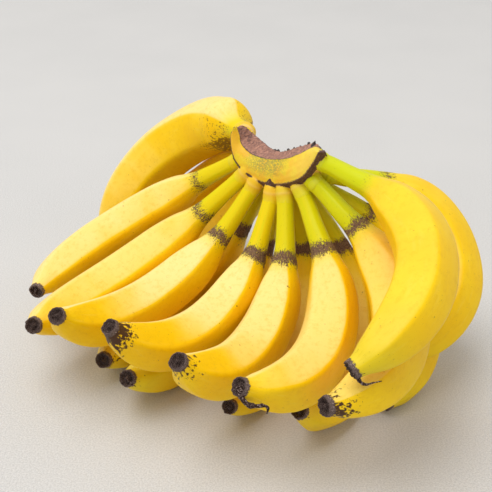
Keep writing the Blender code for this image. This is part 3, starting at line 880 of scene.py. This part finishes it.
# The peel's shine, and the colours of the fingers and the crown
PEEL_SPECULAR = 0.2
GOLD = (0.95, 0.590, 0.001)
LEMON = (0.97, 0.640, 0.004)
MOTTLE_GOLD = (0.78, 0.44, 0.002)
PALE_EDGE = (0.97, 0.76, 0.13)
PAINTED_SHEEN = (0.98, 0.755, 0.27)
SMUDGE_BROWN = (0.075, 0.032, 0.012)
STALK_YELLOW = (0.86, 0.63, 0.002)
STALK_LIME = (0.58, 0.64, 0.002)
SCAR_BROWN = (0.25, 0.145, 0.085)
SCAR_DARK = (0.095, 0.050, 0.034)
SCAR_PALE = (0.50, 0.36, 0.16)
# Brown of the speckles, also used as painted shade in the hollows between the crown's stubs
SPECKLE_AND_SHADE_BROWN = (0.22, 0.10, 0.012)
END_DARK = (0.028, 0.013, 0.010)
END_GREY = (0.46, 0.34, 0.30)
TIP_GREEN = (0.55, 0.62, 0.03)
CROWN_YELLOW = (0.84, 0.62, 0.012)
CROWN_ORANGE = (0.86, 0.50, 0.015)
CROWN_PALE = (0.90, 0.68, 0.09)
CROWN_OLIVE = (0.36, 0.31, 0.05)
CROWN_SPECK = (0.52, 0.26, 0.02)
# Pale of the stub collar, also used as a painted highlight along the crown's lip
PALE_COLLAR_AND_LIP_HIGHLIGHT = (0.92, 0.60, 0.22)
CUT_PINK = (0.50, 0.25, 0.18)
CUT_DARK = (0.20, 0.105, 0.085)
CUT_STRAND = (0.74, 0.42, 0.27)
CUT_EDGE = (0.040, 0.028, 0.030)
RIM_BROWN = (0.080, 0.036, 0.026)
RIM_LIGHT = (0.22, 0.12, 0.08)


def stalk_colour(skin, streaks, lime):
    """Yellow-green of a stalk, in long streaks."""
    tone = skin.noise(streaks, 130)
    stalk = skin.mix(lime, STALK_YELLOW, STALK_LIME)
    return skin.mix(skin.between(tone, 0.4, 0.7, 0, 0.4), stalk, STALK_LIME), tone


def crown_skin_colour(skin, place, face, fine):
    """Yellow skin, paler at the right, with an olive middle, brown specks and dots, and a painted lip
    highlight.
    """
    level = skin.axis(place, "X")
    broad = skin.noise(place, 110)
    grit = skin.noise(place, 1500, roughness=0.7)
    colour = skin.mix(skin.between(broad, 0.4, 0.6), CROWN_ORANGE, CROWN_YELLOW)
    right = skin.between(level, 0.01, 0.034)
    colour = skin.mix(skin.product(right, 0.6), colour, CROWN_PALE)
    middle = skin.product(skin.between(level, -0.028, -0.008), skin.between(level, 0.006, 0.02, 1, 0))
    upper = skin.between(face, 0.12, 0.7)
    olive = skin.product(skin.product(middle, upper), skin.between(fine, 0.38, 0.56, 0, 0.95))
    colour = skin.mix(olive, colour, CROWN_OLIVE)
    left = skin.between(level, -0.034, -0.01, 1, 0.25)
    specks = skin.product(skin.between(grit, 0.58, 0.66), skin.between(broad, 0.36, 0.56, 0.25, 1))
    colour = skin.mix(skin.product(specks, skin.product(left, 0.75)), colour, CROWN_SPECK)
    dots = skin.between(skin.cells(place, 420), 0.06, 0.13, 0.9, 0)
    colour = skin.mix(skin.product(dots, skin.between(fine, 0.52, 0.6)), colour, SCAR_DARK)
    # Painted highlight: a pale band along the lip
    painted_lip_highlight = skin.product(skin.between(face, 0, 0.1, 1, 0), skin.between(fine, 0.3, 0.6, 0.3, 0.9))
    return skin.mix(painted_lip_highlight, colour, PALE_COLLAR_AND_LIP_HIGHLIGHT)


def stub_colour(skin, place, stub, lime, collar):
    """Yellow-green of a stub, warmer at its foot, with a pale collar."""
    stalk, _ = stalk_colour(skin, skin.stretch(place, (1, 0.25, 1)), lime)
    warm = skin.product(skin.between(stub, 0.3, 0.85, 0.75, 0), skin.between(lime, 0.3, 0.7, 1, 0.1))
    stalk = skin.mix(warm, stalk, CROWN_ORANGE)
    return skin.mix(skin.product(collar, 0.35), stalk, PALE_COLLAR_AND_LIP_HIGHLIGHT)


def crown_material():
    """Yellow skin with a dried dark rim and a fibrous pinkish cut, greener where the stalks begin."""
    skin = Surface("crown", 0.6)
    place = skin.attribute("place", vector=True)
    cut, rim, face, stub, lime, collar, char = (skin.attribute(title) for title in CROWN_NUMBERS)
    fine = skin.noise(place, 900, detail=4, roughness=0.7)

    colour = crown_skin_colour(skin, place, face, fine)
    stalk = stub_colour(skin, place, stub, lime, collar)
    colour = skin.mix(skin.between(stub, 0.02, 0.25), colour, stalk)
    # Painted shade: brown darkening in the hollows between the stubs
    painted_crease_shade = skin.between(skin.sum(skin.attribute("hollow"), skin.swing(fine, 0.5)), 0.25, 0.75)
    on_stub = skin.between(stub, 0.02, 0.2)
    colour = skin.mix(skin.product(skin.product(painted_crease_shade, on_stub), 0.8), colour, SPECKLE_AND_SHADE_BROWN)

    fibres = skin.stretch(place, (1, 0.5, 0.35))
    strands = skin.noise(fibres, 700, detail=5, roughness=0.7, distortion=1.2)
    flesh = skin.mix(skin.between(strands, 0.36, 0.6), CUT_DARK, CUT_PINK)
    flesh = skin.mix(skin.between(strands, 0.58, 0.7, 0, 0.75), flesh, CUT_STRAND)
    ragged = skin.sum(cut, skin.swing(fine, 0.35))
    outline = skin.product(skin.between(ragged, 0.3, 0.5), skin.between(ragged, 0.55, 0.9, 1, 0))
    colour = skin.mix(skin.between(ragged, 0.45, 0.55), colour, flesh)
    colour = skin.mix(skin.product(outline, 0.85), colour, CUT_EDGE)

    bark = skin.mix(skin.between(fine, 0.5, 0.68), RIM_BROWN, RIM_LIGHT)
    ragged_rim = skin.sum(rim, skin.swing(fine, 0.5))
    colour = skin.mix(skin.between(ragged_rim, 0.3, 0.42), colour, bark)
    colour = skin.mix(skin.between(char, 0.3, 0.6), colour, CUT_EDGE)

    height = skin.sum(skin.product(fine, 0.6), skin.product(cut, skin.product(strands, 2.5)))
    skin.bump(height, 0.0005, 0.7)
    dry = skin.count("MAXIMUM", cut, rim)
    return skin.finish(colour, skin.sum(skin.product(dry, 0.3), 0.52))


def peel_yellow(skin, place, tone, streak, facing_light, pale):
    """Gold to lemon peel with pale streaks, a painted sheen where it faces the light, and a fine mottle."""
    yellow = skin.mix(skin.between(tone, 0.38, 0.66), GOLD, LEMON)
    yellow = skin.mix(skin.between(streak, 0.52, 0.8, 0, 0.22), yellow, PALE_EDGE)
    # Painted sheen: faces turned to the light are painted paler
    yellow = skin.mix(skin.between(facing_light, 0.3, 0.74, 0, pale), yellow, PAINTED_SHEEN)
    mottle = skin.noise(skin.stretch(place, (1, 1, 0.6)), 360, detail=5, roughness=0.75)
    return skin.mix(skin.between(mottle, 0.46, 0.7, 0, 0.34), yellow, MOTTLE_GOLD)


def speckled_thicker_in_shade(skin, colour, place, along, facing_light, looks):
    """Brown speckles thinning past the neck, thicker away from the light as painted shade, and a few dots."""
    spots = skin.noise(place, 620, detail=4, roughness=0.7)
    past_neck = skin.between(along, looks["neck"] - 0.01, looks["neck"] + looks["reach"], 1, 0)
    near_neck = skin.product(past_neck, skin.between(along, looks["neck"] - 0.05, looks["neck"], 0.15, 1))
    # Painted shade: the speckles are thicker on faces turned from the light
    shaded = skin.between(facing_light, -0.1, 0.6, 1.4, 0.5)
    grain = skin.product(skin.product(near_neck, shaded), looks["speckle"])
    threshold = skin.count("SUBTRACT", 0.8, skin.product(grain, 0.2))
    speckles = skin.between(spots, threshold, skin.sum(threshold, 0.05), 0, 0.85)
    colour = skin.mix(speckles, colour, SPECKLE_AND_SHADE_BROWN)
    dots = skin.between(skin.cells(place, 900), 0.03, 0.1, 0.5, 0)
    sparse = skin.between(skin.noise(place, 140), 0.54, 0.68)
    return skin.mix(skin.product(dots, sparse), colour, SPECKLE_AND_SHADE_BROWN)


def neck_scar(skin, place, fine):
    """Where the fibrous scar round the neck is, and its colour."""
    specks = skin.noise(skin.stretch(place, (1, 1, 0.55)), 950, detail=4, roughness=0.8)
    scar = skin.between(skin.sum(skin.attribute("scar"), skin.swing(specks, 3.2)), 0.52, 0.66)
    fibre = skin.noise(skin.stretch(place, (1, 1, 1.6)), 800, detail=5, roughness=0.75)
    tone = skin.mix(skin.between(fibre, 0.4, 0.62), SCAR_DARK, SCAR_BROWN)
    return scar, skin.mix(skin.between(fine, 0.6, 0.75, 0, 0.7), tone, SCAR_PALE)


def tip_smudges_thicker_in_shade(skin, place, along, facing_light, strength):
    """Where the brown smudges ahead of the dried end are, painted thicker away from the light as shade."""
    smudge = skin.between(along, 0.93 - 0.05 * strength, DARK_END_START, 0, strength)
    # Painted shade: the smudges are thicker on faces turned from the light
    smudge = skin.product(smudge, skin.between(facing_light, 0, 0.7, 1.1, 0.6))
    blotches = skin.noise(place, 300, detail=5, roughness=0.62)
    return skin.between(skin.sum(smudge, skin.swing(blotches, 3)), 0.54, 0.78)


def dried_end(skin, place, along, dry):
    """Where the dried end is, and its colour: dark, with grey flecks and a grey rim."""
    wavy_along = skin.sum(along, skin.swing(dry, 0.022))
    end = skin.between(wavy_along, DARK_END_START - 0.002, DARK_END_START + 0.003)
    flecks = skin.between(skin.noise(place, 1100, roughness=0.7), 0.54, 0.63, 0, 0.9)
    tone = skin.mix(flecks, END_DARK, END_GREY)
    rim = skin.between(skin.attribute("end_face"), 0.02, 0.2, 0.2, 0)
    return end, skin.mix(skin.product(rim, end), tone, END_GREY)


def peel_material(name, looks):
    """Waxy yellow peel, greener on the stalk, with a fibrous scar round the neck and a dried dark end."""
    skin = Surface(name, 0.45)
    place = skin.attribute("peel", vector=True)
    along = skin.attribute("along")
    streaks = skin.stretch(place, (1, 1, 0.12))
    tone = skin.noise(place, 32, detail=2)
    streak = skin.noise(streaks, 420, detail=4)
    fine = skin.noise(place, 1500, detail=2)
    dry = skin.noise(place, 420, detail=4, roughness=0.65)
    # How far the face turns to the light, with some noise: it drives the painted sheen and the painted shade
    facing_light = skin.sum(skin.attribute("facing_light"), skin.swing(tone, 0.35))

    yellow = peel_yellow(skin, place, tone, streak, facing_light, looks["pale"])
    stalk, lime_tone = stalk_colour(skin, streaks, looks["lime"])
    edge = skin.sum(along, skin.swing(lime_tone, 0.05))
    colour = skin.mix(skin.between(edge, looks["neck"] - 0.03, looks["neck"] + 0.075), stalk, yellow)
    if looks["green"]:
        green = skin.between(edge, 0.8, 0.97, 0, looks["green"] * 0.7)
        colour = skin.mix(green, colour, TIP_GREEN)
    colour = speckled_thicker_in_shade(skin, colour, place, along, facing_light, looks)
    scar, scar_tone = neck_scar(skin, place, fine)
    colour = skin.mix(scar, colour, scar_tone)
    colour = skin.mix(tip_smudges_thicker_in_shade(skin, place, along, facing_light, looks["smudge"]), colour, SMUDGE_BROWN)
    end, end_tone = dried_end(skin, place, along, dry)
    colour = skin.mix(end, colour, end_tone)

    rough_parts = skin.count("MAXIMUM", end, scar)
    height = skin.sum(skin.product(fine, 0.25), skin.product(streak, 0.35))
    height = skin.sum(height, skin.product(rough_parts, skin.product(dry, 5)))
    skin.bump(height, 0.00022, 0.6)
    gloss = skin.between(streak, 0.3, 0.7, 0.4, 0.5)
    skin.shader.inputs["Specular IOR Level"].default_value = PEEL_SPECULAR
    return skin.finish(colour, skin.sum(gloss, skin.product(rough_parts, 0.35)))


# The floor, the key light and the pale surroundings
FLOOR_DARK = (0.49, 0.485, 0.48)
FLOOR_PALE = (0.70, 0.695, 0.69)
FLOOR_BROAD = (0.67, 0.66, 0.65)
FLOOR_HALF_SIDE = 4.0
FLOOR_DROP = 0.0002

KEY_PLACE = (-1.10, -0.70, 4.3)
KEY_TARGET = (0, 0, 0.05)
KEY_WIDTH = 3.2
KEY_POWER = 146.0
KEY_COLOUR = (1.0, 0.985, 0.955)
SURROUNDING_COLOUR = (1.0, 0.99, 0.975, 1.0)
SURROUNDING_STRENGTH = 0.64


def floor_material():
    """Pale grey ground with a very fine grain."""
    ground = Surface("floor", 0.85)
    place = ground.node("ShaderNodeTexCoord").outputs["Object"]
    grain = ground.noise(place, 900, detail=4, roughness=0.7)
    broad = ground.noise(place, 6, detail=2)
    colour = ground.mix(ground.between(grain, 0.3, 0.7), FLOOR_DARK, FLOOR_PALE)
    colour = ground.mix(ground.between(broad, 0.3, 0.7, 0, 0.25), colour, FLOOR_BROAD)
    ground.bump(grain, 0.0003, 0.5)
    return ground.finish(colour)


def link(thing):
    bpy.context.scene.collection.objects.link(thing)
    return thing


def dress_fingers():
    """Every finger of both rows, in place of its plain solid."""
    rows = (("inner", INNER_ROW, INNER_ROW_OFFSET), ("outer", OUTER_ROW, OUTER_ROW_OFFSET))
    names = [f"finger_{row}_{k + 1}" for row, members, _ in rows for k in range(len(members))]
    grown = [grown_line(finger, offset) for _, members, offset in rows for finger in members]
    fingers = INNER_ROW + OUTER_ROW
    lines = settle(grown, [finger[5:] for finger in fingers])
    roots = []
    all_of_them = zip(names, fingers, lines, INNER_LOOKS + OUTER_LOOKS)
    for number, (name, finger, line, own_looks) in enumerate(all_of_them):
        looks = {**USUAL_LOOKS, **own_looks}
        roots.append((line + HAND_SHIFT, finger, looks["lime"]))
        mesh = dressed_finger(name, line + HAND_SHIFT, finger[5:], number, looks)
        mesh.materials.append(peel_material(name + " peel", looks))
        piece = link(bpy.data.objects.new(name + "_skin", mesh))
        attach(piece, "root")
        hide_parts(name)
    return roots


def dress_crown(roots):
    """The crown, in place of its plain solid."""
    mesh = dressed_crown(roots)
    mesh.materials.append(crown_material())
    piece = link(bpy.data.objects.new("crown_skin", mesh))
    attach(piece, "root")
    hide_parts("crown")


def make_floor():
    """A level floor, a hair under the hand."""
    side = FLOOR_HALF_SIDE
    mesh = bpy.data.meshes.new("floor")
    corners = [(-side, -side, 0), (side, -side, 0), (side, side, 0), (-side, side, 0)]
    mesh.from_pydata(corners, [], [(0, 1, 2, 3)])
    mesh.materials.append(floor_material())
    floor = link(bpy.data.objects.new("floor", mesh))
    floor.location.z = -FLOOR_DROP


def light_scene():
    """A broad key light high at the front left, and pale light from all round."""
    data = bpy.data.lights.new("key", "AREA")
    data.size = KEY_WIDTH
    data.energy = KEY_POWER
    data.color = KEY_COLOUR
    light = link(bpy.data.objects.new("key", data))
    light.location = KEY_PLACE
    light.rotation_euler = (Vector(KEY_TARGET) - Vector(KEY_PLACE)).to_track_quat("-Z", "Y").to_euler()
    world = bpy.data.worlds.new("studio")
    bpy.context.scene.world = world
    world.use_nodes = True
    background = world.node_tree.nodes["Background"]
    background.inputs["Color"].default_value = SURROUNDING_COLOUR
    background.inputs["Strength"].default_value = SURROUNDING_STRENGTH
    bpy.context.scene.view_settings.view_transform = "Standard"


def place_camera():
    """The photograph's point of view."""
    elevation = math.radians(CAMERA_ELEVATION)
    forward = np.array([0, math.cos(elevation), -math.sin(elevation)])
    upward = np.array([0, math.sin(elevation), math.cos(elevation)])
    target = CROWN_CENTRE + np.array([CAMERA_SIDE_SHIFT, 0, 0]) + upward * CAMERA_RISE
    data = bpy.data.cameras.new("camera")
    data.sensor_width = FILM_WIDTH
    data.lens = FILM_WIDTH * FOCAL_PIXELS / PICTURE_SIDE
    data.clip_start = 0.01
    camera = link(bpy.data.objects.new("camera", data))
    camera.location = target - forward * CAMERA_DISTANCE
    camera.rotation_euler = Vector(forward).to_track_quat("-Z", "Y").to_euler()
    bpy.context.scene.camera = camera


dress_crown(dress_fingers())
make_floor()
light_scene()
place_camera()
